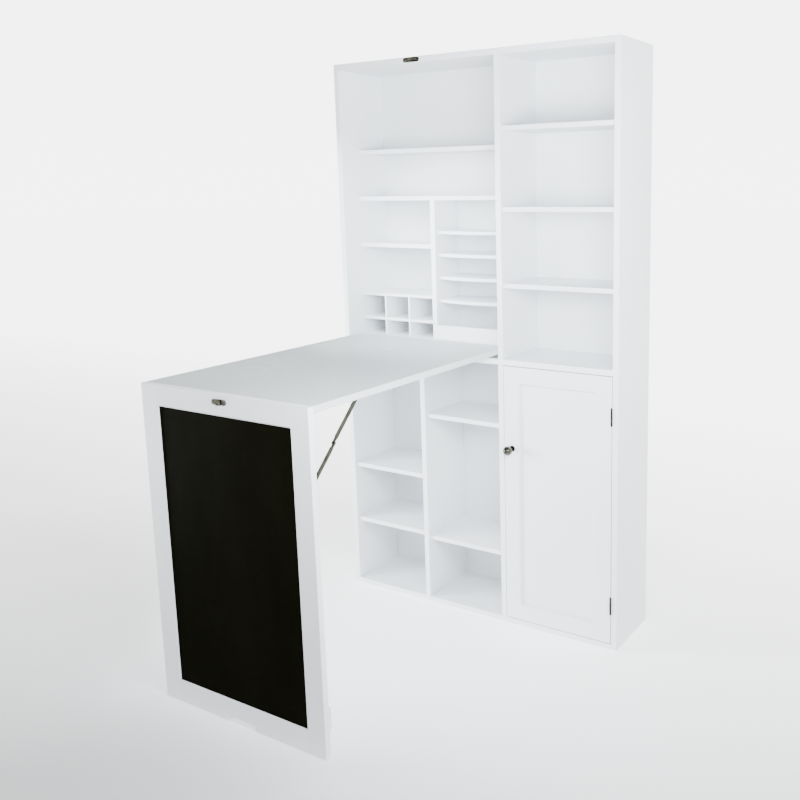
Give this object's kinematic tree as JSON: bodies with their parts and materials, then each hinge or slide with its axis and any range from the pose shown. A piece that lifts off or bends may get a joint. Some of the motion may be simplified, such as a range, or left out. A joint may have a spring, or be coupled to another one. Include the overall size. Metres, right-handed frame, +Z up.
{
  "type": "secretary desk",
  "caption": "Tall white shelf cabinet with a cupboard and a drop-front desk whose hinged chalkboard leg folds away with the table top.",
  "frame": {"origin": "centre of the footprint of the whole desk at rest (table down, leg on the floor), at floor level", "axes": "+X to the right seen from the front, +Y from the user towards the wall, +Z up"},
  "size_m": [0.85, 0.906, 1.5],
  "materials": {
    "painted_board": "satin white paint on fibreboard",
    "back_sheet": "white faced hardboard",
    "chalkboard": "matte black chalkboard paint on hardboard",
    "knob_metal": "dark nickel",
    "hinge_metal": "dark nickel",
    "latch_metal": "dark nickel",
    "stay_metal": "dark nickel",
    "pin_steel": "plain steel",
    "catch_plastic": "moulded",
    "bumper_rubber": "soft grey"
  },
  "bodies": {
    "cabinet": {"back_panel_lower": "back_sheet", "back_panel_upper": "back_sheet", "bottom_panel": "painted_board", "cubby_divider_left": "painted_board", "cubby_divider_right": "painted_board", "cubby_mid_shelf": "painted_board", "cubby_top_shelf": "painted_board", "cupboard_shelf": "painted_board", "desk_rear_board": "painted_board", "door_catch": "catch_plastic", "door_hinge_side_leaves": "hinge_metal", "latch_base": "latch_metal", "left_side_panel": "painted_board", "letter_shelf_1": "painted_board", "letter_shelf_2": "painted_board", "letter_shelf_3": "painted_board", "letter_shelf_4": "painted_board", "lower_column_divider": "painted_board", "lower_divider": "painted_board", "lower_left_shelf_1": "painted_board", "lower_left_shelf_2": "painted_board", "lower_middle_shelf_1": "painted_board", "lower_middle_shelf_2": "painted_board", "mid_shelf": "painted_board", "organiser_divider": "painted_board", "organiser_lip": "painted_board", "right_side_panel": "painted_board", "tabletop_pivot_pins": "pin_steel", "top_panel": "painted_board", "upper_divider": "painted_board", "upper_left_shelf_1": "painted_board", "upper_left_shelf_2": "painted_board", "upper_left_shelf_3": "painted_board", "upper_right_shelf_1": "painted_board", "upper_right_shelf_2": "painted_board", "upper_right_shelf_3": "painted_board", "wall_bumpers": "bumper_rubber"},
    "table": {"tabletop": "painted_board", "leg_hinge_table_leaves": "hinge_metal", "stay_table_brackets": "stay_metal"},
    "leg": {"leg_left_stile": "painted_board", "leg_right_stile": "painted_board", "leg_top_rail": "painted_board", "leg_bottom_rail": "painted_board", "chalkboard_panel": "chalkboard", "leg_spacer_blocks": "painted_board", "leg_hinge_leg_leaves": "hinge_metal", "stay_leg_brackets": "stay_metal", "latch_keeper": "latch_metal"},
    "door": {"door_frame": "painted_board", "door_panel": "painted_board", "door_knob": "knob_metal", "door_hinge_door_leaves": "hinge_metal", "door_strike": "pin_steel"},
    "upper_arm_left": {"stay_upper_arm_left": "stay_metal"},
    "upper_arm_right": {"stay_upper_arm_right": "stay_metal"},
    "lower_arm_left": {"stay_lower_arm_left": "stay_metal"},
    "lower_arm_right": {"stay_lower_arm_right": "stay_metal"},
    "cam": {"latch_cam": "latch_metal"}
  },
  "joints": [
    {"name": "table_fold", "type": "hinge", "parent": "cabinet", "child": "table", "pos_m": [-0.1615, 0.2885, 0.7455], "axis": [-1, 0, 0], "range_deg": [0, 90]},
    {"name": "leg_fold", "type": "hinge", "parent": "table", "child": "leg", "pos_m": [-0.1615, -0.428, 0.7325], "axis": [1, 0, 0], "range_deg": [0, 90]},
    {"name": "upper_arm_left_turn", "type": "hinge", "parent": "table", "child": "upper_arm_left", "pos_m": [-0.37915, -0.27, 0.7325], "axis": [-1, 0, 0], "range_deg": [0, 45]},
    {"name": "upper_arm_right_turn", "type": "hinge", "parent": "table", "child": "upper_arm_right", "pos_m": [0.05615, -0.27, 0.7325], "axis": [-1, 0, 0], "range_deg": [0, 45]},
    {"name": "lower_arm_left_turn", "type": "hinge", "parent": "leg", "child": "lower_arm_left", "pos_m": [-0.38195, -0.428, 0.5745], "axis": [1, 0, 0], "range_deg": [0, 45]},
    {"name": "lower_arm_right_turn", "type": "hinge", "parent": "leg", "child": "lower_arm_right", "pos_m": [0.05895, -0.428, 0.5745], "axis": [1, 0, 0], "range_deg": [0, 45]},
    {"name": "door_open", "type": "hinge", "parent": "cabinet", "child": "door", "pos_m": [0.409, 0.2525, 0.3635], "axis": [0, 0, 1], "range_deg": [0, 110]},
    {"name": "latch_turn", "type": "hinge", "parent": "cabinet", "child": "cam", "pos_m": [-0.1615, 0.24875, 1.4925], "axis": [0, 1, 0], "range_deg": [0, 90]}
  ],
  "couplings": [
    {"joint": "leg_fold", "follows": "table_fold", "ratio": 1},
    {"joint": "upper_arm_left_turn", "follows": "table_fold", "ratio": 0.5},
    {"joint": "upper_arm_right_turn", "follows": "table_fold", "ratio": 0.5},
    {"joint": "lower_arm_left_turn", "follows": "table_fold", "ratio": 0.5},
    {"joint": "lower_arm_right_turn", "follows": "table_fold", "ratio": 0.5}
  ]
}
